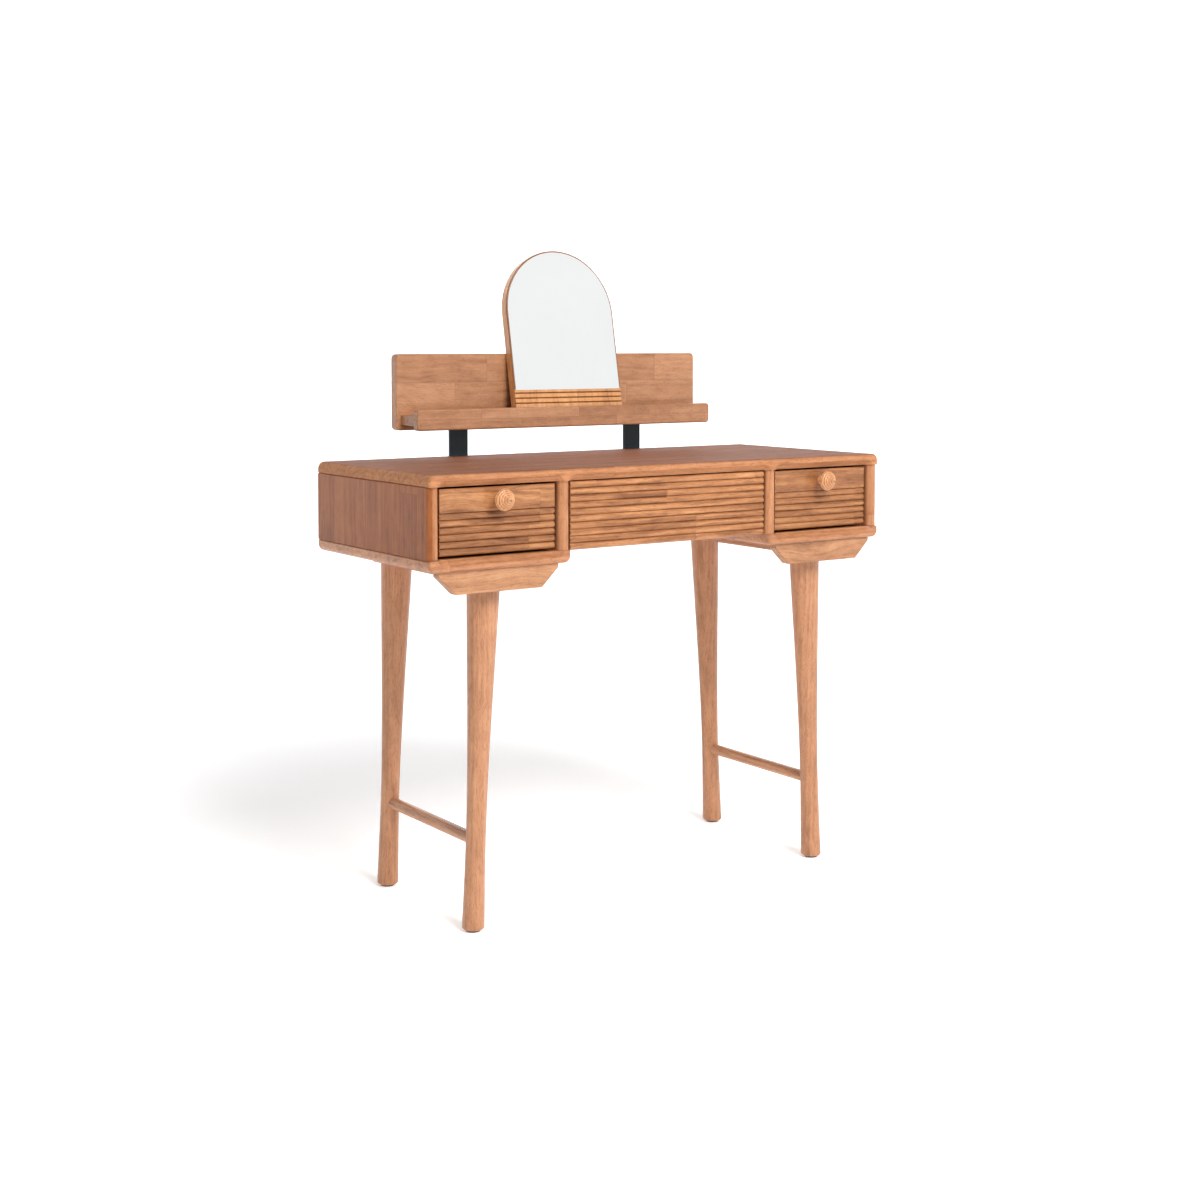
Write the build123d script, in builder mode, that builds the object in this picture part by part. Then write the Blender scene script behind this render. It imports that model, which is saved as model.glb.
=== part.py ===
"""Vanity table with a shelf and a loose arched mirror.

Millimetres. +Z is up, +X is to the sitter's right and the drawers open towards -Y.
The origin is on the floor, at the middle of the object's bounding box.
"""
import os
from math import atan2, cos, degrees, radians, sin

from build123d import *

os.makedirs("parts", exist_ok=True)

# ------------------------------------------------------------------ driving dimensions
WIDTH, DEPTH, HEIGHT = 950, 390, 750     # the table itself, over its panels
BOARD = 20                               # top, sides, dividers and bottoms
OPENING_H = 114                          # clear height of the drawer openings
CENTRE_W = 420                           # clear width between the dividers
CASE_Y = 3.77                            # middle of the case, behind the middle of the box
EDGE_R = 6                               # roundover on the outer front edges
CORNER_R = 12                            # ends of the top and bottom boards, seen from the front
BEVEL, BEVEL_STOP, BIT_R = 10, 9, 6      # stopped bevels along the drawer openings
UPRIGHT_SET_BACK, UPRIGHT_R = 3, 9.5     # uprights stand back a little and are rounded in front
JOINT_V = 2.5                            # bevel under the ends of the top
REST_GAP = 0.3                           # running gap between pieces that move

FRONT, BACK = CASE_Y - DEPTH / 2, CASE_Y + DEPTH / 2
TOP_Z = HEIGHT - BOARD                   # underside of the top
CASE_Z = TOP_Z - OPENING_H               # upper face of the bottom panels
UNDER_Z = CASE_Z - BOARD                 # underside of the case
SIDE_X = WIDTH / 2 - BOARD               # inner face of a side panel
DIV_X = CENTRE_W / 2                     # inner face of a divider
SIDE_W = SIDE_X - DIV_X - BOARD          # clear width of a side opening
BAY_X = (SIDE_X + DIV_X + BOARD) / 2     # middle of a side bay
BACK_T = 18                              # boards that close the back

SIDES = (("left", -1), ("right", 1))
BAYS = (("left", -BAY_X, SIDE_W), ("centre", 0, CENTRE_W), ("right", BAY_X, SIDE_W))

DOWEL_R, DOWEL_FIT = 4, 0.05             # beech dowels and the slack of their holes
DOWEL_IN_PANEL, DOWEL_IN_UPRIGHT = 12, 20
DOWEL_Y = (CASE_Y - 140, CASE_Y, CASE_Y + 140)


def finish(piece, label):
    """Name a finished piece and write its STEP file."""
    piece.part.label = label
    export_step(piece.part, f"parts/{label}.step")


def facing(y):
    """An upright sketch plane at this Y that extrudes towards the front."""
    return Plane.XZ.offset(-y)


def upright_dowels(part_mode, radius, panel_z, up_sign, xs):
    """Dowels, or their holes, across the joint at height panel_z; the uprights lie on the -up side."""
    length = DOWEL_IN_PANEL + DOWEL_IN_UPRIGHT
    middle = panel_z + up_sign * (DOWEL_IN_PANEL - DOWEL_IN_UPRIGHT) / 2
    with Locations(*[(x, y, middle) for x in xs for y in DOWEL_Y]):
        Cylinder(radius, length, mode=part_mode)


# ------------------------------------------------------------------ case
UPRIGHT_X = [sign * x for sign in (-1, 1) for x in (WIDTH / 2 - BOARD / 2, DIV_X + BOARD / 2)]
HOLE_R = DOWEL_R + DOWEL_FIT


def board(low_x, high_x, low_z, round_side):
    """A horizontal board of the case; its two corners on round_side (+1 up, -1 down) are rounded."""
    with BuildPart() as plank:
        with BuildSketch(facing(BACK)) as end_view:
            with Locations(((low_x + high_x) / 2, low_z + BOARD / 2)):
                Rectangle(high_x - low_x, BOARD)
            fillet(end_view.vertices().group_by(Axis.Y)[-1 if round_side > 0 else 0], CORNER_R)
        extrude(amount=DEPTH)
        flat_z = low_z if round_side > 0 else low_z + BOARD
        for face, radius in ((plank.faces().sort_by(Axis.Y)[0], EDGE_R),
                             (plank.faces().sort_by(Axis.Y)[-1], 1.5)):
            rim = face.outer_wire().edges().filter_by(lambda edge: abs(edge.center().Z - flat_z) > 0.1)
            fillet(rim, radius)
    return plank.part


def stopped_bevel(bay_x, bay_w, edge_z, up_sign):
    """What a bevel bit takes off along one board of an opening; up_sign is the side the board is on."""
    half = bay_w / 2 - BEVEL_STOP
    with BuildPart() as waste:
        with BuildSketch(Plane.YZ.offset(bay_x - half)):
            with BuildLine():
                Polyline((FRONT, edge_z), (FRONT, edge_z + up_sign * BEVEL), (FRONT + BEVEL, edge_z),
                         close=True)
            make_face()
        extrude(amount=2 * half)
        with Locations(*[Location((bay_x + side_x, FRONT + BEVEL / 2, edge_z - up_sign * BIT_R), (-90, 0, 0))
                         for side_x in (-half, half)]):
            Cone(BIT_R + BEVEL, BIT_R, BEVEL)
    return waste.part


def joint_bevels(xs, joint_z):
    """Bevel the ends of a board where it meets a side panel at height joint_z."""
    with Locations(*[Location((x, CASE_Y, joint_z), (0, 45, 0)) for x in xs]):
        Box(JOINT_V * 2 ** 0.5, DEPTH + 2, JOINT_V * 2 ** 0.5, mode=Mode.SUBTRACT)


with BuildPart() as top_panel:
    add(board(-WIDTH / 2, WIDTH / 2, TOP_Z, 1))
    joint_bevels((-WIDTH / 2, WIDTH / 2), TOP_Z)
    for _, bay_x, bay_w in BAYS:
        add(stopped_bevel(bay_x, bay_w, TOP_Z, 1), mode=Mode.SUBTRACT)
    upright_dowels(Mode.SUBTRACT, HOLE_R, TOP_Z, 1, UPRIGHT_X)
finish(top_panel, "top_panel")

for side, sign in SIDES:
    for piece, inner_x in (("side_panel", SIDE_X), ("divider", DIV_X)):
        upright_x = sign * (inner_x + BOARD / 2)
        with BuildPart() as upright:
            with Locations((upright_x, BACK, CASE_Z)):
                Box(BOARD, DEPTH - UPRIGHT_SET_BACK, OPENING_H, align=(Align.CENTER, Align.MAX, Align.MIN))
            fillet(upright.edges().filter_by(Axis.Z).group_by(Axis.Y)[0], UPRIGHT_R)
            if piece == "side_panel":
                outer_face = upright.faces().filter_by(Axis.X).sort_by(Axis.X)[0 if sign < 0 else -1]
                chamfer(outer_face.edges().filter_by(Axis.Y), 0.8)
            for joint_z, up in ((TOP_Z, 1), (CASE_Z, -1)):
                upright_dowels(Mode.SUBTRACT, HOLE_R, joint_z, up, [upright_x])
        finish(upright, f"{side}_{piece}")

# ------------------------------------------------------------------ leg frames
LEG_RAIL_W, LEG_RAIL_H = 60, 26          # board under each bottom panel that carries two legs
FASCIA_T, FASCIA_INSET = 18, 6           # front board with its lower corners cut off
FASCIA_TOP_W, FASCIA_LOW_W = 223, 161
FASCIA_H, FASCIA_END_H = 37, 7
LEG_TOP_X, LEG_FOOT_X = 343.8, 365.5     # leg centres at the rail and at the floor
LEG_TOP_Z = UNDER_Z - LEG_RAIL_H
RAIL_FRONT = FRONT + FASCIA_INSET + FASCIA_T
RAIL_BACK = BACK - 8
LEG_Y = {"front": RAIL_FRONT + 33, "back": RAIL_BACK - 31}
LEG_PROFILE = ((18.6, 0), (17.2, 75), (16.2, 165), (17.0, 240), (21.6, 400), (27.6, 580))
GLIDE_R, GLIDE_T = 12, 3                 # nylon glide under each foot
STRETCHER_R, STRETCHER_Z = 10, 148
BOLT_R, BOLT_IN_LEG, BOLT_IN_RAIL = 4, 45, 20
SCREW_R, SCREW_HEAD_R = 2, 4             # wood screws
RAIL_SCREW_Y = (CASE_Y - 90, CASE_Y, CASE_Y + 90)
RAIL_SCREW_LEN = LEG_RAIL_H + 12
SPLAY = atan2(LEG_FOOT_X - LEG_TOP_X, LEG_TOP_Z)

for side, sign in SIDES:
    ends = sorted((sign * DIV_X, sign * WIDTH / 2))
    with BuildPart() as bottom_panel:
        add(board(*ends, UNDER_Z, -1))
        joint_bevels((sign * WIDTH / 2,), CASE_Z)
        add(stopped_bevel(sign * BAY_X, SIDE_W, CASE_Z, -1), mode=Mode.SUBTRACT)
        upright_dowels(Mode.SUBTRACT, HOLE_R, CASE_Z, -1, [x for x in UPRIGHT_X if x * sign > 0])
        with Locations(*[(sign * LEG_TOP_X, y, UNDER_Z) for y in RAIL_SCREW_Y]):
            Cylinder(SCREW_R + DOWEL_FIT, 2 * (RAIL_SCREW_LEN - LEG_RAIL_H), mode=Mode.SUBTRACT)
    finish(bottom_panel, f"{side}_bottom_panel")

    with BuildPart() as fascia:
        with BuildSketch(facing(RAIL_FRONT)) as shape:
            with BuildLine():
                half_top, half_low = FASCIA_TOP_W / 2, FASCIA_LOW_W / 2
                middle = sign * LEG_TOP_X
                Polyline(
                    (middle - half_top, UNDER_Z), (middle - half_top, UNDER_Z - FASCIA_END_H),
                    (middle - half_low, UNDER_Z - FASCIA_H), (middle + half_low, UNDER_Z - FASCIA_H),
                    (middle + half_top, UNDER_Z - FASCIA_END_H), (middle + half_top, UNDER_Z), close=True)
            make_face()
            fillet(shape.vertices().group_by(Axis.Y)[0], 3)
        extrude(amount=FASCIA_T)
        low_edges = fascia.faces().sort_by(Axis.Y)[0].edges().filter_by(
            lambda edge: edge.center().Z < UNDER_Z - FASCIA_END_H - 1)
        fillet(low_edges, 1.5)
    finish(fascia, f"{side}_fascia")

    leg_tops = [(sign * LEG_TOP_X, y) for y in LEG_Y.values()]
    with BuildPart() as leg_rail:
        with Locations((sign * LEG_TOP_X, (RAIL_FRONT + RAIL_BACK) / 2, LEG_TOP_Z)):
            Box(LEG_RAIL_W, RAIL_BACK - RAIL_FRONT, LEG_RAIL_H, align=(Align.CENTER, Align.CENTER, Align.MIN))
        fillet(leg_rail.faces().sort_by(Axis.Z)[0].edges().filter_by(Axis.Y), 2)
        with Locations(*[(x, y, LEG_TOP_Z) for x, y in leg_tops]):
            Cylinder(BOLT_R + DOWEL_FIT, 2 * BOLT_IN_RAIL, mode=Mode.SUBTRACT)
        with Locations(*[(sign * LEG_TOP_X, y, LEG_TOP_Z) for y in RAIL_SCREW_Y]):
            Cylinder(SCREW_R + DOWEL_FIT, 2 * LEG_RAIL_H, mode=Mode.SUBTRACT)
            Cone(SCREW_HEAD_R + DOWEL_FIT, SCREW_R + DOWEL_FIT, 3,
                 align=(Align.CENTER, Align.CENTER, Align.MIN), mode=Mode.SUBTRACT)
    finish(leg_rail, f"{side}_leg_rail")

    for place, leg_y in LEG_Y.items():
        along = Vector(-sign * sin(SPLAY), 0, cos(SPLAY))
        across = Vector(cos(SPLAY), 0, sign * sin(SPLAY))
        foot = Vector(sign * LEG_FOOT_X, leg_y, 0)
        leg_plane = Plane(origin=foot, x_dir=across, z_dir=across.cross(along))
        with BuildPart() as leg:
            with BuildSketch(leg_plane):
                with BuildLine():
                    Polyline(LEG_PROFILE[-1], (0, LEG_PROFILE[-1][1]), (0, -8), (LEG_PROFILE[0][0], -8),
                             LEG_PROFILE[0])
                    Spline(*LEG_PROFILE)
                make_face()
            revolve(axis=Axis(foot, along))
            split(bisect_by=Plane.XY.offset(LEG_TOP_Z), keep=Keep.BOTTOM)
            split(bisect_by=Plane.XY.offset(GLIDE_T), keep=Keep.TOP)
            fillet(leg.edges().group_by(Axis.Z)[0], 4)
            with Locations((sign * LEG_TOP_X, leg_y, LEG_TOP_Z)):
                Cylinder(BOLT_R + DOWEL_FIT, 2 * BOLT_IN_LEG, mode=Mode.SUBTRACT)
        finish(leg, f"{place}_{side}_leg")

    # a turned rod between the two legs, coped to them
    stretcher_x = sign * (LEG_FOOT_X - STRETCHER_Z * (LEG_FOOT_X - LEG_TOP_X) / LEG_TOP_Z)
    leg_radius = 16.2
    with BuildPart() as stretcher:
        with BuildSketch(facing(LEG_Y["back"])):
            with Locations((stretcher_x, STRETCHER_Z)):
                Circle(STRETCHER_R)
        extrude(amount=LEG_Y["back"] - LEG_Y["front"])
        with Locations(*[Location((stretcher_x, y, STRETCHER_Z), (0, -sign * degrees(SPLAY), 0))
                         for y in LEG_Y.values()]):
            Cylinder(leg_radius + 0.15, 60, mode=Mode.SUBTRACT)
    finish(stretcher, f"{side}_stretcher")

with BuildPart() as foot_glides:
    with Locations(*[(sign * LEG_FOOT_X, y, 0) for _, sign in SIDES for y in LEG_Y.values()]):
        Cylinder(GLIDE_R, GLIDE_T, align=(Align.CENTER, Align.CENTER, Align.MIN))
finish(foot_glides, "foot_glides")

with BuildPart() as leg_bolts:
    with Locations(*[(sign * LEG_TOP_X, y, LEG_TOP_Z) for _, sign in SIDES for y in LEG_Y.values()]):
        Cylinder(BOLT_R, BOLT_IN_RAIL, align=(Align.CENTER, Align.CENTER, Align.MIN))
        Cylinder(BOLT_R, BOLT_IN_LEG, align=(Align.CENTER, Align.CENTER, Align.MAX))
finish(leg_bolts, "leg_bolts")

with BuildPart() as rail_screws:
    with Locations(*[(sign * LEG_TOP_X, y, LEG_TOP_Z) for _, sign in SIDES for y in RAIL_SCREW_Y]):
        Cylinder(SCREW_R, RAIL_SCREW_LEN, align=(Align.CENTER, Align.CENTER, Align.MIN))
        Cone(SCREW_HEAD_R, SCREW_R, 3, align=(Align.CENTER, Align.CENTER, Align.MIN))
finish(rail_screws, "rail_screws")

with BuildPart() as case_dowels:
    upright_dowels(Mode.ADD, DOWEL_R, TOP_Z, 1, UPRIGHT_X)
    upright_dowels(Mode.ADD, DOWEL_R, CASE_Z, -1, UPRIGHT_X)
finish(case_dowels, "case_dowels")

# ------------------------------------------------------------------ back of the case and shelf posts
POST_X, POST_W, POST_T = 194, 38, 4      # flat steel posts that carry the shelf
POST_LOW_Z, POST_TOP_Z = CASE_Z + 14, 905
POST_SCREW_Z = (POST_LOW_Z + 20, TOP_Z - 20, 845, 885)
POST_SCREW_LEN = 14
HEAD_R, HEAD_H = 5, 3


def post_screws(part_mode, radius, start_y, length, zs, xs):
    """Screw shanks, or their holes, that run forward from start_y."""
    with Locations(*[Location((x, start_y, z), (90, 0, 0)) for x in xs for z in zs]):
        Cylinder(radius, length, align=(Align.CENTER, Align.CENTER, Align.MIN), mode=part_mode)


POST_XS = (-POST_X, POST_X)
for name, bay_x, bay_w in BAYS:
    with BuildPart() as back_panel:
        with Locations((bay_x, BACK, CASE_Z)):
            Box(bay_w, BACK_T, OPENING_H, align=(Align.CENTER, Align.MAX, Align.MIN))
        if name == "centre":
            post_screws(Mode.SUBTRACT, SCREW_R + DOWEL_FIT, BACK, POST_SCREW_LEN, POST_SCREW_Z[:2], POST_XS)
    finish(back_panel, f"{name}_back_panel")

for side, sign in SIDES:
    with BuildPart() as post:
        with BuildSketch(facing(BACK + POST_T)) as strip:
            with Locations((sign * POST_X, (POST_LOW_Z + POST_TOP_Z) / 2)):
                RectangleRounded(POST_W, POST_TOP_Z - POST_LOW_Z, 3)
        extrude(amount=POST_T)
        post_screws(Mode.SUBTRACT, SCREW_R + 0.3, BACK + POST_T, POST_T, POST_SCREW_Z, (sign * POST_X,))
    finish(post, f"{side}_shelf_post")

with BuildPart() as post_screw_set:
    post_screws(Mode.ADD, SCREW_R, BACK + POST_T, POST_T + POST_SCREW_LEN, POST_SCREW_Z, POST_XS)
    with Locations(*[Location((x, BACK + POST_T, z), (-90, 0, 0)) for x in POST_XS for z in POST_SCREW_Z]):
        Cylinder(HEAD_R, HEAD_H, align=(Align.CENTER, Align.CENTER, Align.MIN))
    fillet(post_screw_set.edges().group_by(Axis.Y)[-1], 1.5)
finish(post_screw_set, "post_screws")

# ------------------------------------------------------------------ shelf
SHELF_W, SHELF_T = 662, 19               # upright board behind the tray
SHELF_LOW_Z, SHELF_TOP_Z = 800, 935
TRAY_W, TRAY_D, TRAY_T = 645, 46, 18
TRAY_TOP_Z = 827.5
LIP_T, LIP_LOW_Z, LIP_TOP_Z = 14, 801, 838
SHELF_FACE_Y = BACK - SHELF_T            # front of the upright board
LIP_BACK_Y = SHELF_FACE_Y - TRAY_D
SHELF_DOWEL_X = (-260, 0, 260)
SHELF_DOWEL_Z = TRAY_TOP_Z - TRAY_T / 2


def shelf_dowels(part_mode, radius, slack=0.0):
    """Dowels, or their holes, that tie the tray to the upright board and to the lip."""
    for joint_y, back_in, front_in in ((SHELF_FACE_Y, 10, 20), (LIP_BACK_Y, 20, 8)):
        start = joint_y + back_in + slack
        with Locations(*[Location((x, start, SHELF_DOWEL_Z), (90, 0, 0)) for x in SHELF_DOWEL_X]):
            Cylinder(radius, back_in + front_in + 2 * slack,
                     align=(Align.CENTER, Align.CENTER, Align.MIN), mode=part_mode)


with BuildPart() as shelf_back_board:
    with BuildSketch(facing(BACK)):
        with Locations((0, (SHELF_LOW_Z + SHELF_TOP_Z) / 2)):
            RectangleRounded(SHELF_W, SHELF_TOP_Z - SHELF_LOW_Z, 8)
    extrude(amount=SHELF_T)
    fillet(shelf_back_board.faces().sort_by(Axis.Y)[0].edges(), 3)
    shelf_dowels(Mode.SUBTRACT, 3 + DOWEL_FIT, DOWEL_FIT)
    post_screws(Mode.SUBTRACT, SCREW_R + DOWEL_FIT, BACK, POST_SCREW_LEN, POST_SCREW_Z[2:], POST_XS)
finish(shelf_back_board, "shelf_back_board")

with BuildPart() as shelf_tray:
    with Locations((0, SHELF_FACE_Y, TRAY_TOP_Z)):
        Box(TRAY_W, TRAY_D, TRAY_T, align=(Align.CENTER, Align.MAX, Align.MAX))
    fillet(shelf_tray.edges().filter_by(Axis.Y), 2)
    shelf_dowels(Mode.SUBTRACT, 3 + DOWEL_FIT, DOWEL_FIT)
finish(shelf_tray, "shelf_tray")

with BuildPart() as shelf_lip:
    with BuildSketch(facing(LIP_BACK_Y)):
        with Locations((0, (LIP_LOW_Z + LIP_TOP_Z) / 2)):
            RectangleRounded(TRAY_W, LIP_TOP_Z - LIP_LOW_Z, 6)
    extrude(amount=LIP_T)
    fillet(shelf_lip.faces().sort_by(Axis.Y)[0].edges(), 3)
    shelf_dowels(Mode.SUBTRACT, 3 + DOWEL_FIT, DOWEL_FIT)
finish(shelf_lip, "shelf_lip")

with BuildPart() as shelf_dowel_set:
    shelf_dowels(Mode.ADD, 3)
finish(shelf_dowel_set, "shelf_dowels")

# ------------------------------------------------------------------ mirror, leaning in the tray
MIRROR_W, MIRROR_T = 237, 18             # arched wooden backing
MIRROR_TILT = 10.6                       # degrees back from upright
MIRROR_X = 13                            # it stands a little right of the middle
MIRROR_STRAIGHT = 182                    # foot to the springing of the arch
GLASS_T, GLASS_INSET = 4, 2.5
GLASS_LOW = 37.7                         # foot to the lower edge of the glass
RIB_PITCH, RIB_DEPTH = 9.3, 2.5
RIB_TOP = 32.5

tilt = radians(MIRROR_TILT)
# the back leans on the upper front edge of the upright board; the back lower edge stands on the tray
lean_gap = REST_GAP / cos(tilt)
heel_z = TRAY_TOP_Z + REST_GAP
heel_y = SHELF_FACE_Y - lean_gap - (SHELF_TOP_Z - heel_z) * sin(tilt) / cos(tilt)
up_dir = Vector(0, sin(tilt), cos(tilt))
back_dir = Vector(0, cos(tilt), -sin(tilt))
heel = Vector(MIRROR_X, heel_y, heel_z)
mirror_back_plane = Plane(origin=heel, x_dir=(1, 0, 0), z_dir=-back_dir)
mirror_front_plane = mirror_back_plane.offset(MIRROR_T)


def arch(half_width, low, straight):
    """An arch-topped outline from height low, with its springing at height straight."""
    with BuildSketch() as outline:
        with Locations((0, (low + straight) / 2)):
            Rectangle(2 * half_width, straight - low)
        with Locations((0, straight)):
            Circle(half_width)
    return outline.sketch


backing_outline = arch(MIRROR_W / 2, 0, MIRROR_STRAIGHT)
rebate_outline = arch(MIRROR_W / 2 - GLASS_INSET, GLASS_LOW, MIRROR_STRAIGHT)
glass_outline = arch(MIRROR_W / 2 - GLASS_INSET - 0.1, GLASS_LOW + 0.1, MIRROR_STRAIGHT)

with BuildPart() as mirror_backing:
    with BuildSketch(mirror_back_plane):
        add(backing_outline)
    extrude(amount=MIRROR_T)
    rim = mirror_backing.faces().filter_by(mirror_front_plane).sort_by(SortBy.AREA)[-1].edges()
    fillet(rim.sort_by(Axis.Z)[1:], 1.8)
    back_rim = mirror_backing.faces().filter_by(mirror_back_plane).sort_by(SortBy.AREA)[-1].edges()
    fillet(back_rim.sort_by(Axis.Z)[1:], 1.8)
    with BuildSketch(mirror_front_plane):
        add(rebate_outline)
    extrude(amount=-GLASS_T, mode=Mode.SUBTRACT)
    # V valleys with round crowns between them, across the foot
    with BuildSketch(Plane.YZ.offset(MIRROR_X - MIRROR_W / 2)) as valleys:
        for i in range(4):
            level = heel - back_dir * MIRROR_T + up_dir * (RIB_TOP - i * RIB_PITCH)
            top_point = level + up_dir * 1.7
            low_point = level - up_dir * 1.7
            root = level + back_dir * RIB_DEPTH
            out = back_dir * -1
            with BuildLine():
                Polyline((top_point.Y + out.Y, top_point.Z + out.Z), (top_point.Y, top_point.Z),
                         (root.Y, root.Z), (low_point.Y, low_point.Z),
                         (low_point.Y + out.Y, low_point.Z + out.Z), close=True)
            make_face()
    extrude(amount=MIRROR_W, mode=Mode.SUBTRACT)
finish(mirror_backing, "mirror_backing")

with BuildPart() as mirror_glass:
    with BuildSketch(mirror_front_plane.offset(-GLASS_T)):
        add(glass_outline)
    extrude(amount=GLASS_T)
    glass_face = mirror_glass.faces().filter_by(mirror_front_plane).sort_by(Axis.Y)[0]
    chamfer(glass_face.edges(), 0.5)
finish(mirror_glass, "mirror_glass")

# ------------------------------------------------------------------ drawers
REED_PITCH, REED_DEPTH = 11.3, 4
FRONT_T = 18
WALL_T, BOX_H, BOX_D = 12, 80, 320       # drawer box
BASE_T, BASE_UP, GROOVE = 5, 6, 5        # its bottom, how high it sits and how deep it is let in
SLIDE_T, SLIDE_LEN = 12.7, 300           # ball-bearing slides
SLIDE_H, SLIDE_INNER_H, STEEL_T = 35, 25, 1.2
BOX_LOW_Z = CASE_Z + 16
SLIDE_Z = BOX_LOW_Z + BOX_H / 2
KNOB_R, KNOB_NECK_R = 17.8, 7
KNOB_NECK, KNOB_RIM, KNOB_CONE = 19, 2.5, 19
KNOB_RINGS = 6
KNOB_Z = 706

# name, recess behind the case front, bottom and top of the front, gap beside it, number of reeds
DRAWERS = {
    "left": (12.5, CASE_Z + 4, TOP_Z - 3.5, 5, 6),
    "centre": (9, CASE_Z - 1, TOP_Z - 1.8, 4, 10),
    "right": (12.5, CASE_Z + 4, TOP_Z - 3.5, 5, 6),
}


def front_profile(face_y, low, high, reeds):
    """Side view of a drawer front: half-round reeds from the bottom, then a flat field."""
    root_y, back_y = face_y + REED_DEPTH, face_y + FRONT_T
    reed_r = (REED_PITCH ** 2 / 4 + REED_DEPTH ** 2) / (2 * REED_DEPTH)
    reeds_top = low + reeds * REED_PITCH
    with BuildSketch() as profile:
        with Locations(((root_y + back_y) / 2, (low + high) / 2)):
            Rectangle(back_y - root_y, high - low)
        with Locations(*[(face_y + reed_r, low + (i + 0.5) * REED_PITCH) for i in range(reeds)]):
            Circle(reed_r)
        if high - reeds_top > REED_PITCH:
            with Locations(((face_y + back_y) / 2, (reeds_top + high) / 2)):
                RectangleRounded(back_y - face_y, high - reeds_top, 1.5)
    return profile.sketch


def slide_section(wall_x, inward, near, far, height, web_near):
    """Section of a steel channel between two distances from the case wall."""
    lo, hi = sorted((wall_x + inward * near, wall_x + inward * far))
    web_is_low = web_near == (inward > 0)
    shift = STEEL_T if web_is_low else -STEEL_T
    with BuildSketch() as section:
        with Locations(((lo + hi) / 2, SLIDE_Z)):
            Rectangle(hi - lo, height)
        with Locations(((lo + hi) / 2 + shift, SLIDE_Z)):
            Rectangle(hi - lo, height - 2 * STEEL_T, mode=Mode.SUBTRACT)
    return section.sketch


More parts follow.
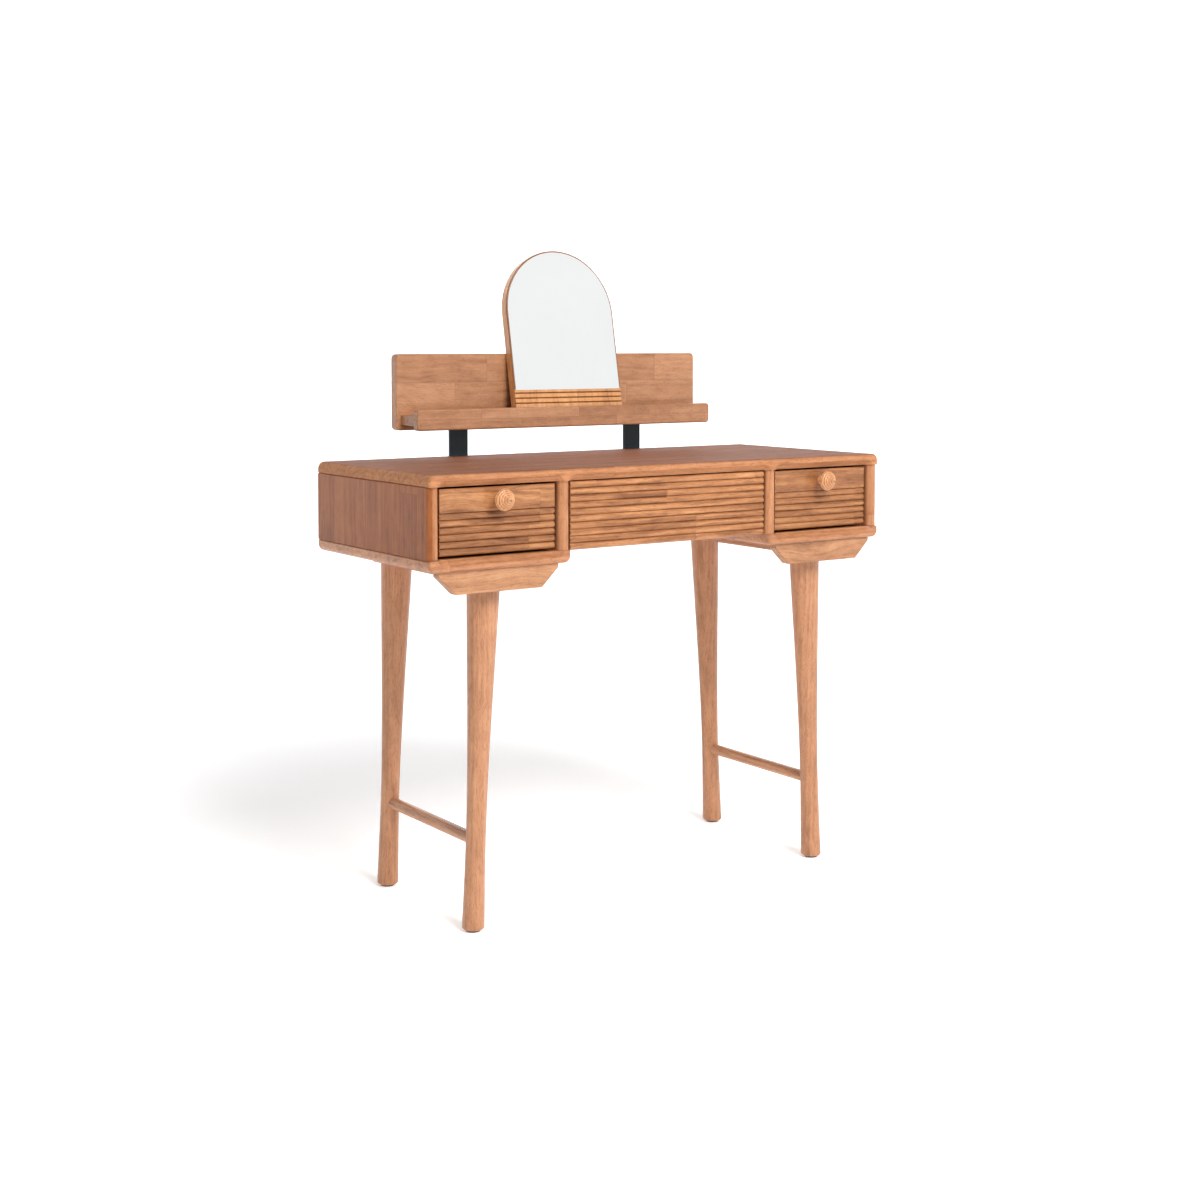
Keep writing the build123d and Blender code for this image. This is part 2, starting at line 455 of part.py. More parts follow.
for name, bay_x, bay_w in BAYS:
    recess, low_z, high_z, side_gap, reeds = DRAWERS[name]
    face_y = FRONT + recess
    box_front_y = face_y + FRONT_T
    box_w = bay_w - 2 * SLIDE_T - 2 * REST_GAP
    wall_x = box_w / 2 - WALL_T / 2
    has_knob = name != "centre"
    slide_y = box_front_y + 4

    profile = front_profile(face_y, low_z, high_z, reeds)
    with BuildPart() as drawer_front:
        with BuildSketch(Plane.YZ.offset(bay_x)):
            add(profile)
        extrude(amount=bay_w / 2 - side_gap, both=True)
        if has_knob:
            with Locations(Location((bay_x, box_front_y, KNOB_Z), (90, 0, 0))):
                Cylinder(SCREW_R + 0.2, FRONT_T, align=(Align.CENTER, Align.CENTER, Align.MIN),
                         mode=Mode.SUBTRACT)
    finish(drawer_front, f"{name}_drawer_front")

    base_z = BOX_LOW_Z + BASE_UP
    for side, sign in SIDES:
        with BuildPart() as wall:
            with Locations((bay_x + sign * wall_x, box_front_y, BOX_LOW_Z)):
                Box(WALL_T, BOX_D, BOX_H, align=(Align.CENTER, Align.MIN, Align.MIN))
            fillet(wall.faces().sort_by(Axis.Z)[-1].edges().filter_by(Axis.Y), 2)
            with Locations((bay_x + sign * (box_w / 2 - WALL_T), box_front_y, base_z)):
                Box(2 * GROOVE, BOX_D - WALL_T, BASE_T, align=(Align.CENTER, Align.MIN, Align.MIN),
                    mode=Mode.SUBTRACT)
        finish(wall, f"{name}_drawer_{side}_wall")

    inner_w = box_w - 2 * WALL_T
    with BuildPart() as drawer_back:
        with Locations((bay_x, box_front_y + BOX_D, BOX_LOW_Z)):
            Box(inner_w, WALL_T, BOX_H - 6, align=(Align.CENTER, Align.MAX, Align.MIN))
    finish(drawer_back, f"{name}_drawer_back")

    with BuildPart() as drawer_base:
        with Locations((bay_x, box_front_y, base_z)):
            Box(inner_w + 2 * GROOVE - 1, BOX_D - WALL_T, BASE_T, align=(Align.CENTER, Align.MIN, Align.MIN))
    finish(drawer_base, f"{name}_drawer_base")

    fixed_sections = [slide_section(bay_x + s * bay_w / 2, -s, 0, 10, SLIDE_H, True) for s in (-1, 1)]
    with BuildPart() as fixed_slides:
        with BuildSketch(facing(slide_y + SLIDE_LEN)):
            add(fixed_sections)
        extrude(amount=SLIDE_LEN)
    finish(fixed_slides, f"{name}_fixed_slides")

    moving_sections = [slide_section(bay_x + s * bay_w / 2, -s, 3.5, SLIDE_T + REST_GAP, SLIDE_INNER_H, False)
                       for s in (-1, 1)]
    with BuildPart() as moving_slides:
        with BuildSketch(facing(slide_y + SLIDE_LEN)):
            add(moving_sections)
        extrude(amount=SLIDE_LEN)
    finish(moving_slides, f"{name}_moving_slides")

    if has_knob:
        rim_y = KNOB_NECK + KNOB_RIM
        slope = (KNOB_R - 0.8) / KNOB_CONE
        with BuildPart() as knob:
            with BuildSketch(Plane.XY):
                with BuildLine():
                    Polyline((0, 0), (KNOB_NECK_R + 1, 0), (KNOB_NECK_R + 1, 2), (KNOB_NECK_R, 4),
                             (KNOB_NECK_R, KNOB_NECK - 3))
                    Line((KNOB_NECK_R, KNOB_NECK - 3), (KNOB_R - 1, KNOB_NECK))
                    Polyline((KNOB_R - 1, KNOB_NECK), (KNOB_R, KNOB_NECK + 1), (KNOB_R, rim_y - 1),
                             (KNOB_R - 0.8, rim_y))
                    # the cone is turned in rings, each a short crown that ends in a fine groove
                    ring = (KNOB_R - 0.8 - 1.2) / KNOB_RINGS
                    for i in range(KNOB_RINGS):
                        outer_r = KNOB_R - 0.8 - i * ring
                        inner_r = outer_r - ring
                        y0 = rim_y + i * ring / slope
                        y1 = rim_y + (i + 1) * ring / slope
                        ThreePointArc((outer_r, y0), ((outer_r + inner_r) / 2 + 0.5, (y0 + y1) / 2 + 0.5),
                                      (inner_r, y1))
                    Polyline((1.2, rim_y + KNOB_RINGS * ring / slope), (0.6, rim_y + KNOB_CONE),
                             (0, rim_y + KNOB_CONE), (0, 0))
                make_face()
            revolve(axis=Axis.Y)
            with Locations(Location((0, 0, 0), (-90, 0, 0))):
                Cylinder(SCREW_R + DOWEL_FIT, 16, align=(Align.CENTER, Align.CENTER, Align.MIN),
                         mode=Mode.SUBTRACT)
        knob.part.label = f"{name}_knob"
        placed_knob = Location((bay_x, face_y, KNOB_Z), (0, 0, 180)) * knob.part
        placed_knob.label = f"{name}_knob"
        export_step(placed_knob, f"parts/{name}_knob.step")

        with BuildPart() as knob_screw:
            with Locations(Location((bay_x, box_front_y, KNOB_Z), (90, 0, 0))):
                Cylinder(SCREW_R, FRONT_T + 15, align=(Align.CENTER, Align.CENTER, Align.MIN))
            with Locations(Location((bay_x, box_front_y, KNOB_Z), (-90, 0, 0))):
                Cylinder(SCREW_HEAD_R, 2.5, align=(Align.CENTER, Align.CENTER, Align.MIN))
        finish(knob_screw, f"{name}_knob_screw")
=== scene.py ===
"""Looks for the vanity table: stained rubberwood, painted posts, mirror, fittings, a studio and a camera.
The frame is in metres: x runs along the table to the right, y from front to back, z up."""
import math
from collections import namedtuple

import bpy
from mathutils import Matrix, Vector


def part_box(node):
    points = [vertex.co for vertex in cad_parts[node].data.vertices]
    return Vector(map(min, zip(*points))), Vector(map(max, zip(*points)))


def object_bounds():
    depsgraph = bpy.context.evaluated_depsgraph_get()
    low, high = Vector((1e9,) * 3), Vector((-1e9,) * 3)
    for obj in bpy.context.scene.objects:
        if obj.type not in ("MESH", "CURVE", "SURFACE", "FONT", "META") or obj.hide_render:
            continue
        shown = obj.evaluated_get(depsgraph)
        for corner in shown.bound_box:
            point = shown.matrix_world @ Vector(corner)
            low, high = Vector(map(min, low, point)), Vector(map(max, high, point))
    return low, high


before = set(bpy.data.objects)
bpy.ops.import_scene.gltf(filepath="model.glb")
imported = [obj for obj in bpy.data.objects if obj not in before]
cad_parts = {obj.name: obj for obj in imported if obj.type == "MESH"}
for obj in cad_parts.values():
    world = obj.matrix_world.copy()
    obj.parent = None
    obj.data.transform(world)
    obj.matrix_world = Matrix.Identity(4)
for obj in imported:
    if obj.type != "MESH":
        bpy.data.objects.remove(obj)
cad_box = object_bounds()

AXES = {"x": 0, "y": 1, "z": 2}
INTO, UP, RIGHT = (0, 1, 0), (0, 0, 1), (1, 0, 0)
SIDES = ("left", "right")
DRAWERS = ("left", "centre", "right")


def srgb(red, green, blue):
    """A colour as a screen shows it, made linear."""
    linear = [(c / 255 / 12.92) if c <= 10 else ((c / 255 + 0.055) / 1.055) ** 2.4 for c in (red, green, blue)]
    return (*linear, 1)


# ---- short names for shader nodes

class Graph:
    """A node tree, with a method for each kind of node that this script uses."""

    def __init__(self, tree):
        self.tree = tree
        self.tree.nodes.clear()

    def add(self, kind, **settings):
        node = self.tree.nodes.new(kind)
        for key, value in settings.items():
            setattr(node, key, value)
        return node

    def put(self, socket, value):
        if isinstance(value, bpy.types.NodeSocket):
            self.tree.links.new(value, socket)
        elif value is not None:
            socket.default_value = value

    def math(self, operation, first, second=None):
        node = self.add("ShaderNodeMath", operation=operation)
        self.put(node.inputs[0], first)
        self.put(node.inputs[1], second)
        return node.outputs[0]

    def vector(self, operation, first, second):
        node = self.add("ShaderNodeVectorMath", operation=operation)
        self.put(node.inputs[0], first)
        self.put(node.inputs[1], second)
        return node.outputs["Value" if operation == "DOT_PRODUCT" else "Vector"]

    def join(self, *parts):
        node = self.add("ShaderNodeCombineXYZ")
        for socket, value in zip(node.inputs, parts):
            self.put(socket, value)
        return node.outputs[0]

    def split(self, value):
        node = self.add("ShaderNodeSeparateXYZ")
        self.put(node.inputs[0], value)
        return node.outputs

    def length(self, first, second):
        """How far a point is from the origin, from its places along two axes."""
        squares = [self.math("MULTIPLY", value, value) for value in (first, second)]
        return self.math("SQRT", self.math("ADD", *squares))

    def noise(self, place, per_metre, detail=2.0, rough=0.5):
        node = self.add("ShaderNodeTexNoise")
        self.put(node.inputs["Vector"], self.vector("MULTIPLY", place, per_metre))
        node.inputs["Scale"].default_value = 1
        node.inputs["Detail"].default_value = detail
        node.inputs["Roughness"].default_value = rough
        return node.outputs[0]

    def white(self, place):
        node = self.add("ShaderNodeTexWhiteNoise", noise_dimensions="3D")
        self.put(node.inputs["Vector"], place)
        return node.outputs["Value"], node.outputs["Color"]

    def span(self, value, low, high, to_low=0.0, to_high=1.0):
        """The value, moved from the range low to high to another range and held inside it."""
        node = self.add("ShaderNodeMapRange", clamp=True)
        for socket, number in zip(node.inputs, (value, low, high, to_low, to_high)):
            self.put(socket, number)
        return node.outputs[0]

    def vary(self, level, value, amount):
        """The level, moved by up to half the amount each way as the value goes from 0 to 1."""
        return self.math("ADD", level, self.math("MULTIPLY", self.math("SUBTRACT", value, 0.5), amount))

    def ramp(self, value, places, colours):
        node = self.add("ShaderNodeValToRGB")
        ends = node.color_ramp.elements
        while len(ends) < len(places):
            ends.new(0.5)
        for element, place, colour in zip(ends, places, colours):
            element.position = place
            element.color = colour
        self.put(node.inputs[0], value)
        return node.outputs[0]

    def blend(self, amount, colour, other, kind="MULTIPLY"):
        """The colour with the other one over it, as strong as the amount says."""
        node = self.add("ShaderNodeMix", data_type="RGBA", blend_type=kind)
        for socket, value in zip((node.inputs[0], node.inputs[6], node.inputs[7]), (amount, colour, other)):
            self.put(socket, value)
        return node.outputs[2]

    def bump(self, height, distance, strength=0.5):
        node = self.add("ShaderNodeBump")
        node.inputs["Strength"].default_value = strength
        node.inputs["Distance"].default_value = distance
        self.put(node.inputs["Height"], height)
        return node.outputs[0]

    def object_place(self):
        return self.add("ShaderNodeTexCoord").outputs["Object"]

    def normal(self):
        return self.add("ShaderNodeNewGeometry").outputs["Normal"]


class Surface(Graph):
    """A new material with one principled shader."""

    def __init__(self, name):
        self.material = bpy.data.materials.new(name)
        self.material.use_nodes = True
        super().__init__(self.material.node_tree)
        self.shader = self.add("ShaderNodeBsdfPrincipled")
        output = self.add("ShaderNodeOutputMaterial")
        self.put(output.inputs[0], self.shader.outputs[0])

    def set(self, **values):
        for key, value in values.items():
            self.put(self.shader.inputs[key.replace("_", " ")], value)


# ---- materials

# How often each feature of the wood comes per metre: along the grain, across it and into it.
SWAY, WANDER = (7, 9, 9), (2.4, 16, 16)
STREAKS, BROAD, MOTTLE = (5, 150, 150), (2.2, 34, 34), (26, 60, 60)
FIBRES, PORES, FLECKS = (34, 1500, 1500), (120, 2100, 2100), (62, 430, 430)
RING = 0.0085                           # from one growth ring to the next
SWAY_BY, WANDER_BY = 0.03, 0.034        # how far the grain sways, and how far the rings wander
PITH_DEPTH = 0.018                      # the pith is at least this far from the middle of the board
GLUE_LINE = (0.0002, 0.0007)            # a glue line is full up to the first distance, gone at the second
FLECK_TINT = (0.42, 0.30, 0.22, 1)
PORE_TINT = (0.30, 0.20, 0.13, 1)
GLUE_TINT = (0.25, 0.17, 0.12, 1)
LACQUER_ROUGHNESS = 0.12

# A tint grows from start to end along its direction, up to its amount. It is only where the surface looks
# against facing, or everywhere if that is None.
Tint = namedtuple("Tint", "direction start end amount colour facing", defaults=(None,))


def staves(g, along, side, length, width, seed):
    """Blocks glued edge to edge and end to end. Returns the place across a block, its random number and
    colour, and how much of a glue line is here."""

    def from_edge(part, size):
        return g.math("MULTIPLY", g.math("SUBTRACT", 0.5, g.math("ABSOLUTE", g.math("SUBTRACT", part, 0.5))), size)

    row_place = g.math("ADD", g.math("DIVIDE", side, width), 0.5 + seed)
    row = g.math("FLOOR", row_place)
    row_random, _ = g.white(g.join(row, 3.1 + seed, 0))
    column_place = g.math("ADD", g.math("DIVIDE", along, length), g.math("MULTIPLY", row_random, 9.0))
    value, colour = g.white(g.join(row, g.math("FLOOR", column_place), 5.3 + seed))
    row_part = g.math("FRACT", row_place)
    local = g.math("MULTIPLY", g.math("SUBTRACT", row_part, 0.5), width)
    nearest = g.math("MINIMUM", from_edge(row_part, width), from_edge(g.math("FRACT", column_place), length))
    return local, value, colour, g.span(nearest, *GLUE_LINE, 1.0, 0.0)


def growth_rings(g, spot, local, deep, cell, figure):
    """Rings about a pith behind the surface. The cell's random numbers put it at another place in each block."""
    wander = g.math("SUBTRACT", g.noise(spot, WANDER, 2), 0.5)
    pith_side = g.math("SUBTRACT", local, g.math("MULTIPLY", g.math("SUBTRACT", cell[0], 0.5), 0.07))
    pith_deep = g.math("ADD", deep, g.math("ADD", g.math("MULTIPLY", cell[1], 0.05), PITH_DEPTH))
    radius = g.math("ADD", g.length(pith_side, pith_deep), g.math("MULTIPLY", wander, WANDER_BY * figure))
    return g.math("SINE", g.math("MULTIPLY", radius, math.tau / RING))


def wood(name, grain, across, tones, middle, stave=None, contrast=0.3, seed=0.0, roughness=0.4, coat=0.3,
         figure=1.0, seam=0.3, shine=0.3, fleck=0.3, tints=()):
    """Lacquered solid wood with rings, streaks, fibres and pores. The grain runs along one axis. Stave holds
    the length and width of its blocks, and contrast says how much their tones differ."""
    g = Surface(name)
    depth = ({"x", "y", "z"} - {grain, across}).pop()
    place = g.split(g.vector("SUBTRACT", g.object_place(), tuple(middle)))
    along, side, deep = (place[AXES[axis]] for axis in (grain, across, depth))
    if stave:
        local, block_value, block_colour, glue = staves(g, along, side, *stave, seed)
    else:
        local = side
        _, block_colour = g.white(g.join(seed, 1.7, 0.4))
    spot = g.vector("ADD", g.join(along, side, deep), g.vector("MULTIPLY", block_colour, (7.0, 5.0, 3.0)))
    sway = g.math("MULTIPLY", g.math("SUBTRACT", g.noise(spot, SWAY, 1), 0.5), SWAY_BY)
    spot = g.vector("ADD", spot, g.join(0, sway, 0))
    rings = growth_rings(g, spot, local, deep, g.split(block_colour), figure)
    streaks = g.noise(spot, STREAKS, 4, 0.62)
    fibres = g.noise(spot, FIBRES, 2, 0.5)
    pores = g.span(g.noise(spot, PORES, 0), 0.66, 0.76)
    flecks = g.span(g.noise(spot, FLECKS, 1), 0.54, 0.72)

    level = g.vary(0.5, streaks, 0.75 * figure)
    level = g.vary(level, g.noise(spot, BROAD, 3, 0.5), 0.7 * figure)
    level = g.vary(level, g.noise(spot, MOTTLE, 3, 0.6), 0.5)
    level = g.math("ADD", level, g.math("MULTIPLY", rings, 0.085 * figure))
    level = g.vary(level, fibres, 0.3)
    if stave:
        level = g.vary(level, block_value, contrast)
    colour = g.ramp(level, (0.12, 0.5, 0.9), tones)
    colour = g.blend(g.math("MULTIPLY", flecks, fleck), colour, FLECK_TINT)
    colour = g.blend(g.math("MULTIPLY", pores, 0.5), colour, PORE_TINT)
    if stave:
        colour = g.blend(g.math("MULTIPLY", glue, seam), colour, GLUE_TINT)
    for tint in tints:
        share = g.span(g.vector("DOT_PRODUCT", g.object_place(), tint.direction), tint.start, tint.end,
                       0.0, tint.amount)
        if tint.facing:
            against = g.span(g.vector("DOT_PRODUCT", g.normal(), tint.facing), -0.10, -0.35)
            share = g.math("MULTIPLY", share, against)
        colour = g.blend(share, colour, tint.colour)

    height = g.math("ADD", g.math("MULTIPLY", fibres, 0.5), g.math("MULTIPLY", streaks, 0.6))
    height = g.math("SUBTRACT", height, g.math("MULTIPLY", pores, 0.7))
    g.set(Base_Color=colour, Roughness=g.span(streaks, 0.25, 0.8, roughness + 0.09, roughness - 0.05),
          Normal=g.bump(height, 0.0003), Coat_Weight=coat, Coat_Roughness=LACQUER_ROUGHNESS,
          Specular_IOR_Level=shine)
    return g.material


def turned(name, tones, middle, pitch):
    """A turned knob: rings about its axis, with darker end grain at its tip."""
    g = Surface(name)
    place = g.vector("SUBTRACT", g.object_place(), tuple(middle))
    x, _, z = g.split(place)
    radius = g.length(x, z)
    streaks = g.noise(place, (240, 30, 90), 3, 0.6)
    rings = g.math("SINE", g.math("MULTIPLY", radius, math.tau / pitch))
    level = g.math("ADD", g.vary(0.5, streaks, 1.1), g.math("MULTIPLY", rings, 0.16))
    tip = g.span(radius, 0.0009, 0.0022, 0.75, 0.0)
    colour = g.blend(tip, g.ramp(level, (0.1, 0.5, 0.9), tones), (0.10, 0.05, 0.03, 1), "MIX")
    g.set(Base_Color=colour, Roughness=g.span(streaks, 0.2, 0.8, 0.46, 0.36),
          Normal=g.bump(streaks, 0.0002, 0.4), Coat_Weight=0.25, Coat_Roughness=0.26)
    return g.material


def plywood(name, grain, thin, tones, ply=0.0016, seed=0.0):
    """Birch plywood: a pale face veneer with a faint flame, and the plies as stripes along its edges."""
    g = Surface(name)
    parts = g.split(g.object_place())
    other = ({"x", "y", "z"} - {grain, thin}).pop()
    spot = g.join(g.math("ADD", parts[AXES[grain]], seed), parts[AXES[other]], parts[AXES[thin]])
    flame = g.noise(spot, (3.2, 34, 34), 4, 0.6)
    fibres = g.noise(spot, (40, 900, 900), 2, 0.5)
    plies = g.math("SINE", g.math("MULTIPLY", parts[AXES[thin]], math.pi / ply))
    edge = g.math("SUBTRACT", 1.0, g.math("ABSOLUTE", g.split(g.normal())[AXES[thin]]))
    level = g.math("ADD", g.math("MULTIPLY", flame, 0.8), g.math("MULTIPLY", fibres, 0.25))
    level = g.math("ADD", level, g.math("MULTIPLY", g.math("MULTIPLY", plies, edge), 0.3))
    g.set(Base_Color=g.ramp(level, (0.2, 0.5, 0.85), tones), Roughness=g.span(flame, 0.2, 0.8, 0.55, 0.44),
          Normal=g.bump(fibres, 0.0002, 0.4))
    return g.material


def metal(name, colour, worn, roughness, clouds, bump=0.00005, metallic=1.0, coat=0.0):
    """Painted steel, plated slides or screws: clouds of a second tone, that come so often per metre, over a
    fine grain. The nylon glides are made in the same way, without the metal."""
    g = Surface(name)
    place = g.object_place()
    cloud = g.noise(place, (clouds, clouds, clouds), 3, 0.6)
    grain = g.noise(place, (1400, 1400, 1400), 2, 0.5)
    level = g.math("ADD", g.math("MULTIPLY", cloud, 0.8), g.math("MULTIPLY", grain, 0.2))
    g.set(Base_Color=g.ramp(level, (0.3, 0.7), (colour, worn)),
          Roughness=g.span(cloud, 0.3, 0.7, roughness - 0.06, roughness + 0.08),
          Normal=g.bump(grain, bump), Metallic=metallic, Coat_Weight=coat, Coat_Roughness=0.3)
    return g.material


def silver(name):
    """The silvered glass of the mirror, with a faint haze."""
    g = Surface(name)
    haze = g.noise(g.object_place(), (9, 9, 9), 3, 0.6)
    g.set(Base_Color=g.ramp(haze, (0.35, 0.7), ((0.915, 0.925, 0.925, 1), (0.935, 0.945, 0.945, 1))),
          Roughness=g.span(haze, 0.3, 0.7, 0.015, 0.04), Metallic=1.0)
    return g.material


def dress(material, *names):
    for name in names:
        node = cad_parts[name]
        if not node.material_slots:
            node.data.materials.append(material)
        for slot in node.material_slots:
            slot.material = material


def centre(node):
    low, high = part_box(node)
    return (low + high) / 2


def board(material, node, grain, across, tones, **look):
    dress(wood(material, grain, across, tones, centre(node), **look), node)


# ---- the wood: each set of tones goes from dark to light
GOLD = (srgb(128, 78, 43), srgb(178, 120, 75), srgb(212, 154, 103))
AMBER = (srgb(108, 63, 33), srgb(155, 101, 60), srgb(191, 135, 87))
CASE = (srgb(126, 76, 46), srgb(178, 120, 80), srgb(206, 148, 106))
FASCIA = (srgb(122, 77, 47), srgb(171, 119, 81), srgb(200, 149, 108))
FLANK = (srgb(114, 68, 40), srgb(160, 104, 66), srgb(188, 132, 90))
TAN = (srgb(124, 80, 52), srgb(173, 122, 86), srgb(202, 151, 113))
LEG = (srgb(130, 86, 56), srgb(182, 127, 90), srgb(210, 156, 116))
EDGE = (srgb(150, 96, 54), srgb(206, 146, 92), srgb(232, 178, 122))
KNOB = (srgb(146, 92, 54), srgb(198, 138, 90), srgb(228, 174, 124))
BIRCH = (srgb(196, 164, 122), srgb(222, 194, 154), srgb(236, 214, 180))

TOP_FACE_SHADE = (0.62, 0.54, 0.60, 1)            # painted shade: the upper face of the top is made redder and darker than its front
LEFT_SIDE_SHADE = (0.70, 0.50, 0.30, 1)           # painted shade on the outside of the left side panel
STAIN_AND_SHADE = (0.22, 0.13, 0.08, 1)           # stain and painted shade: darkens grooves, the edges in the gaps round the drawers, and the wood round the mirror glass

# The upper face of the top gets painted shade, darker and redder than the front.
top_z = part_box("top_panel")[1].z
board("wood_top", "top_panel", "x", "y", CASE, stave=(0.46, 0.062), contrast=0.10, seed=0.13, roughness=0.62,
      coat=0.0, figure=0.6, shine=0.25, seam=0.15, tints=(Tint(UP, top_z - 0.0022, top_z - 0.0001, 1.0, TOP_FACE_SHADE),))

# The outside of the left side panel gets painted shade, for the side that faces away from the light.
for seed, name in enumerate(("left_side_panel", "left_divider", "right_divider", "right_side_panel")):
    outer = name == "left_side_panel"
    board(f"wood_{name}", name, "z", "y", CASE, stave=(0.6, 0.058), contrast=0.2, seed=0.21 + seed,
          coat=0.1 if outer else 0.3, figure=0.6, shine=0.2, fleck=0.2,
          tints=(Tint(UP, -1.0, -0.9, 1.0, LEFT_SIDE_SHADE, RIGHT),) if outer else ())

for seed, side in enumerate(SIDES):
    board(f"wood_{side}_bottom", f"{side}_bottom_panel", "x", "y", CASE, stave=(0.5, 0.060), contrast=0.12,
          seed=0.4 + seed, figure=0.7)
    board(f"wood_{side}_fascia", f"{side}_fascia", "x", "z", FASCIA, seed=6.2 + seed)
    board(f"wood_{side}_rails", f"{side}_leg_rail", "y", "x", CASE, seed=2.2 + seed)
    board(f"wood_{side}_stretcher", f"{side}_stretcher", "y", "x", LEG, seed=3.7 + seed)
    dress(turned(f"wood_{side}_knob", KNOB, centre(f"{side}_knob"), 0.0029), f"{side}_knob")

# Stain and painted shade in the grooves between the reeds; painted shade on the drawer fronts' edges more than 4.5
# mm behind the reeds, so the gaps round the drawers look dark.
for seed, drawer in enumerate(DRAWERS):
    name = f"{drawer}_drawer_front"
    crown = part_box(name)[0].y           # the front of the reeds
    board(f"wood_{name}", name, "x", "z", GOLD if drawer == "centre" else AMBER, stave=(0.34, 0.057),
          contrast=0.14, seed=0.7 + seed, figure=1.2, fleck=0.4,
          tints=(Tint(INTO, crown + 0.0016, crown + 0.0040, 0.4, STAIN_AND_SHADE, INTO),
                 Tint(INTO, crown + 0.0045, crown + 0.0060, 0.8, STAIN_AND_SHADE)))

for seed, name in enumerate(("front_left_leg", "back_left_leg", "front_right_leg", "back_right_leg")):
    board(f"wood_{name}", name, "z", "x", LEG, seed=9.3 + seed, figure=0.5)

board("wood_shelf_board", "shelf_back_board", "x", "z", TAN, stave=(0.19, 0.066), contrast=0.18, seed=0.25,
      seam=0.25, figure=0.4, fleck=0.12)
board("wood_shelf_tray", "shelf_tray", "x", "y", TAN, stave=(0.24, 0.06), contrast=0.2, seed=0.5, figure=0.4,
      fleck=0.12)
board("wood_shelf_lip", "shelf_lip", "x", "z", TAN, stave=(0.21, 0.060), contrast=0.22, seed=0.5, seam=0.25,
      figure=0.4, fleck=0.12)

MIRROR_LEAN = math.radians(10.6)        # as in the CAD
mirror_into = (0.0, math.cos(MIRROR_LEAN), -math.sin(MIRROR_LEAN))
mirror_face = min(v.co.dot(Vector(mirror_into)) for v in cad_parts["mirror_backing"].data.vertices)
glass_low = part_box("mirror_glass")[0].z
# Stain and painted shade in the grooves of the backing. The front of the backing above the ribs, round the glass,
# is darkened into a dark line along the glass edge.
board("wood_mirror_backing", "mirror_backing", "z", "x", EDGE, stave=(0.8, 0.09), contrast=0.12, seed=0.3,
      coat=0.5, figure=0.5, fleck=0.2,
      tints=(Tint(mirror_into, mirror_face + 0.0004, mirror_face + 0.0024, 0.9, STAIN_AND_SHADE, mirror_into),
             Tint(UP, glass_low + 0.002, glass_low + 0.004, 0.8, STAIN_AND_SHADE, mirror_into)))

dress(wood("wood_case_back", "x", "z", FLANK, centre("centre_back_panel"), stave=(0.42, 0.05), contrast=0.2,
           seed=0.6, figure=0.5, fleck=0.15),
      "left_back_panel", "centre_back_panel", "right_back_panel")
dress(wood("beech_dowels", "x", "y", BIRCH, (0, 0, 0.6), seed=4.4), "case_dowels", "shelf_dowels")

for seed, drawer in enumerate(DRAWERS):
    dress(plywood(f"ply_{drawer}_walls", "y", "x", BIRCH, seed=seed * 0.7),
          f"{drawer}_drawer_left_wall", f"{drawer}_drawer_right_wall")
    dress(plywood(f"ply_{drawer}_back", "x", "y", BIRCH, seed=0.3 + seed), f"{drawer}_drawer_back")
    dress(plywood(f"ply_{drawer}_base", "x", "z", BIRCH, 0.0012, seed=0.9 + seed), f"{drawer}_drawer_base")

# ---- metal, glass and the glides
dress(metal("painted_posts", srgb(30, 58, 70), srgb(40, 68, 80), 0.5, 60, 0.00012, 0.0, 0.05),
      "left_shelf_post", "right_shelf_post")
dress(metal("zinc_slides", srgb(176, 180, 184), srgb(206, 209, 212), 0.3, 90),
      *(f"{drawer}_{kind}_slides" for drawer in DRAWERS for kind in ("fixed", "moving")))
dress(metal("black_screws", srgb(30, 30, 32), srgb(52, 52, 54), 0.4, 200, metallic=0.9),
      "post_screws", "leg_bolts")
dress(metal("bright_screws", srgb(170, 172, 176), srgb(205, 206, 208), 0.28, 200),
      "rail_screws", "left_knob_screw", "right_knob_screw")
dress(metal("nylon_glides", srgb(60, 44, 34), srgb(74, 55, 42), 0.5, 150, metallic=0.0), "foot_glides")
dress(silver("mirror_silver"), "mirror_glass")

# ---- the studio: a paper sweep that glows a little, so that it stays pale from every side
NEAR_GLOW = 0.36                        # under and around the table
HEADING = math.radians(-34.7)           # the camera looks this way, and the sweep's wall stands across it
FLOOR_FRONT, FLOOR_BACK = -40.0, 2.4    # where the flat floor ends, behind the camera and behind the table
BEND, WALL_TOP = 1.4, 3.6               # radius of the curve up to the wall, and the top of the wall
HALF_WIDTH = 40.0
BEND_STEPS = 12
FLOOR_GAP = 0.0004                      # the floor is this far under the feet


def paper(name):
    """White paper. Its glow grows up the wall and with the distance from the table."""
    g = Surface(name)
    fibre = g.noise(g.object_place(), (3, 3, 3), 3, 0.6)
    across, away, height = g.split(g.object_place())
    glow = g.math("MAXIMUM", g.span(height, 0.0, 1.2, NEAR_GLOW, 0.85),
                  g.span(g.length(across, away), 3.0, 6.5, NEAR_GLOW, 0.95))
    g.set(Base_Color=g.ramp(fibre, (0.3, 0.7), ((0.90, 0.90, 0.905, 1), (0.93, 0.93, 0.93, 1))),
          Roughness=0.9, Emission_Color=(1, 1, 1, 1), Emission_Strength=glow)
    return g.material


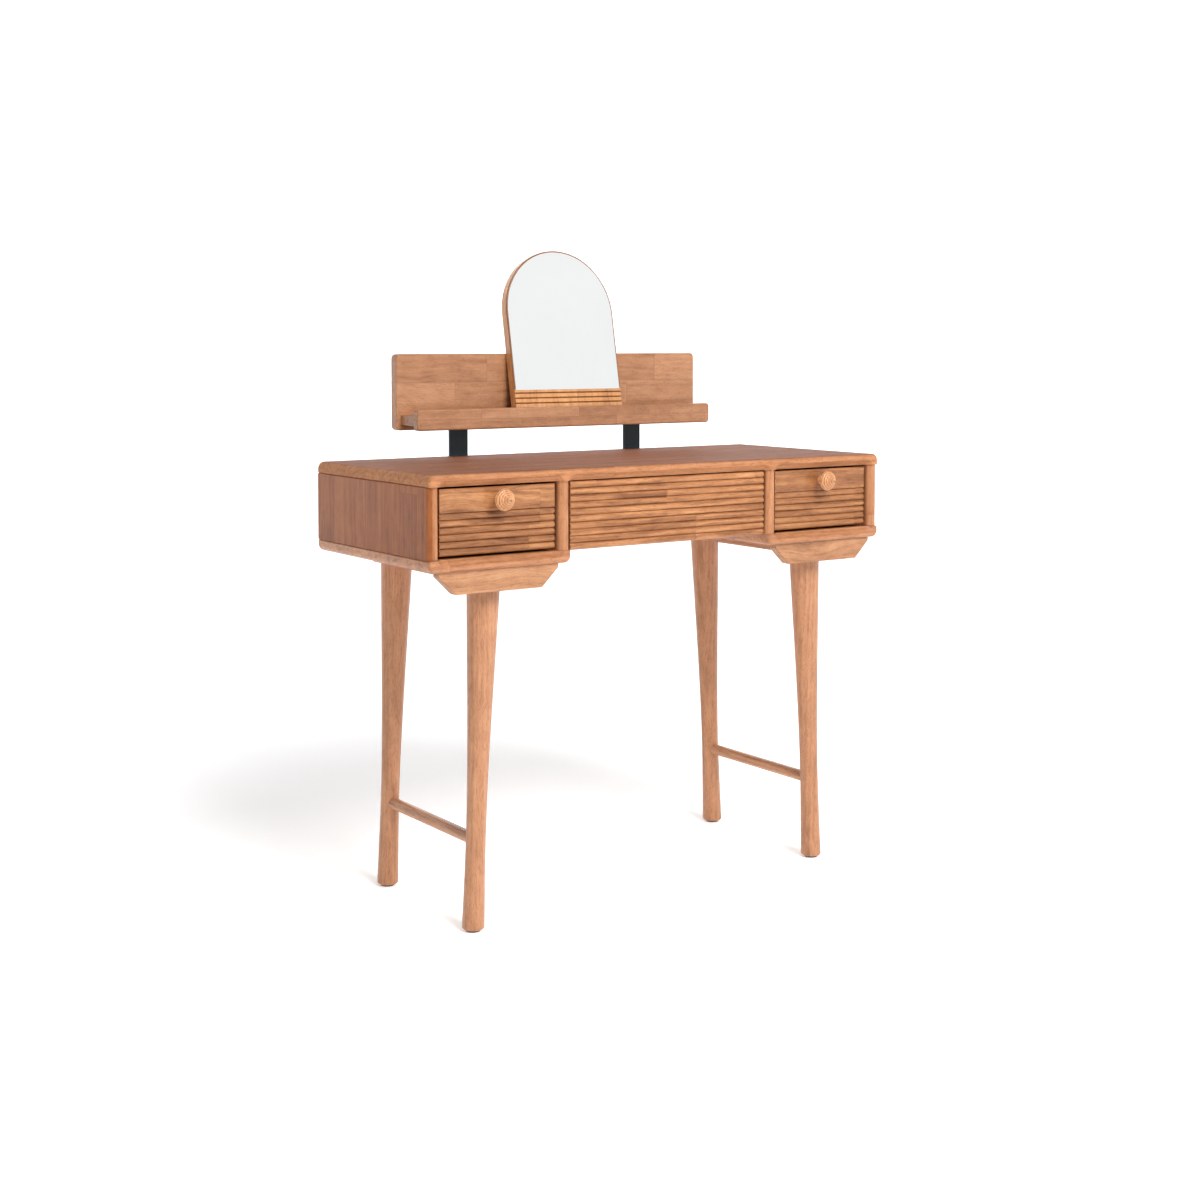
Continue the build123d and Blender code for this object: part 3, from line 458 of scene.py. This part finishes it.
def sweep(name):
    """The floor, the curve behind it and the wall, as one strip."""
    outline = [(FLOOR_FRONT, 0.0), (FLOOR_BACK, 0.0)]
    for i in range(1, BEND_STEPS + 1):
        turn = math.radians(90) * i / BEND_STEPS
        outline.append((FLOOR_BACK + BEND * math.sin(turn), BEND - BEND * math.cos(turn)))
    outline.append((FLOOR_BACK + BEND, WALL_TOP))
    floor_z = cad_box[0][2] - FLOOR_GAP
    verts = [(side * math.cos(HEADING) - run * math.sin(HEADING),
              side * math.sin(HEADING) + run * math.cos(HEADING), rise + floor_z)
             for side in (-HALF_WIDTH, HALF_WIDTH) for run, rise in outline]
    count = len(outline)
    mesh = bpy.data.meshes.new(name)
    mesh.from_pydata(verts, [], [(i, i + count, i + count + 1, i + 1) for i in range(count - 1)])
    for face in mesh.polygons:
        face.use_smooth = True
    mesh.materials.append(paper("studio_paper"))
    return bpy.data.objects.new(name, mesh)


floor = sweep("studio_sweep")
bpy.context.scene.collection.objects.link(floor)


def soft_light(name, place, target, width, height, power):
    """A rectangular light at the place, turned towards the target."""
    lamp = bpy.data.lights.new(name, "AREA")
    lamp.shape = "RECTANGLE"
    lamp.size = width
    lamp.size_y = height
    lamp.energy = power
    light = bpy.data.objects.new(name, lamp)
    bpy.context.scene.collection.objects.link(light)
    light.location = place
    aim = [t - p for t, p in zip(target, place)]
    light.rotation_euler = (math.atan2(math.hypot(aim[0], aim[1]), -aim[2]), 0, math.atan2(-aim[0], aim[1]))


soft_light("key", (-0.1, -4.4, 4.6), (0, 0, 0.6), 2.4, 2.4, 350)
soft_light("rim", (-2.5, -0.7, 1.5), (0, 0, 0.8), 0.08, 1.3, 7)

BRIGHT_PATCH = (0.53, -0.76, 0.38)      # towards the bright patch that the mirror shows to the camera
AIR = 0.17                              # how bright the rest of the studio is

world = bpy.data.worlds.new("studio_air")
bpy.context.scene.world = world
world.use_nodes = True
air = Graph(world.node_tree)
towards = air.add("ShaderNodeTexCoord").outputs["Generated"]
patch = air.span(air.vector("DOT_PRODUCT", towards, BRIGHT_PATCH), 0.72, 1.0, AIR, 1.2)
horizon = air.span(air.split(towards)[2], 0.14, 0.04, AIR, 0.98)
backdrop = air.add("ShaderNodeBackground")
air.put(backdrop.inputs["Strength"], air.math("MAXIMUM", patch, horizon))
air.put(air.add("ShaderNodeOutputWorld").inputs[0], backdrop.outputs[0])

# ---- the camera, at the photograph's angle
view = bpy.data.cameras.new("camera")
view.lens = 52.55
view.sensor_width = 36
view.shift_x = 0.0061
view.shift_y = -0.134
camera = bpy.data.objects.new("camera", view)
camera.location = (-1.8011, -2.5492, 0.9519)
camera.rotation_euler = (math.radians(90 - 3.10), 0, HEADING)
bpy.context.scene.collection.objects.link(camera)
bpy.context.scene.camera = camera
bpy.context.scene.view_settings.view_transform = "Standard"
bpy.context.scene.view_settings.look = "None"
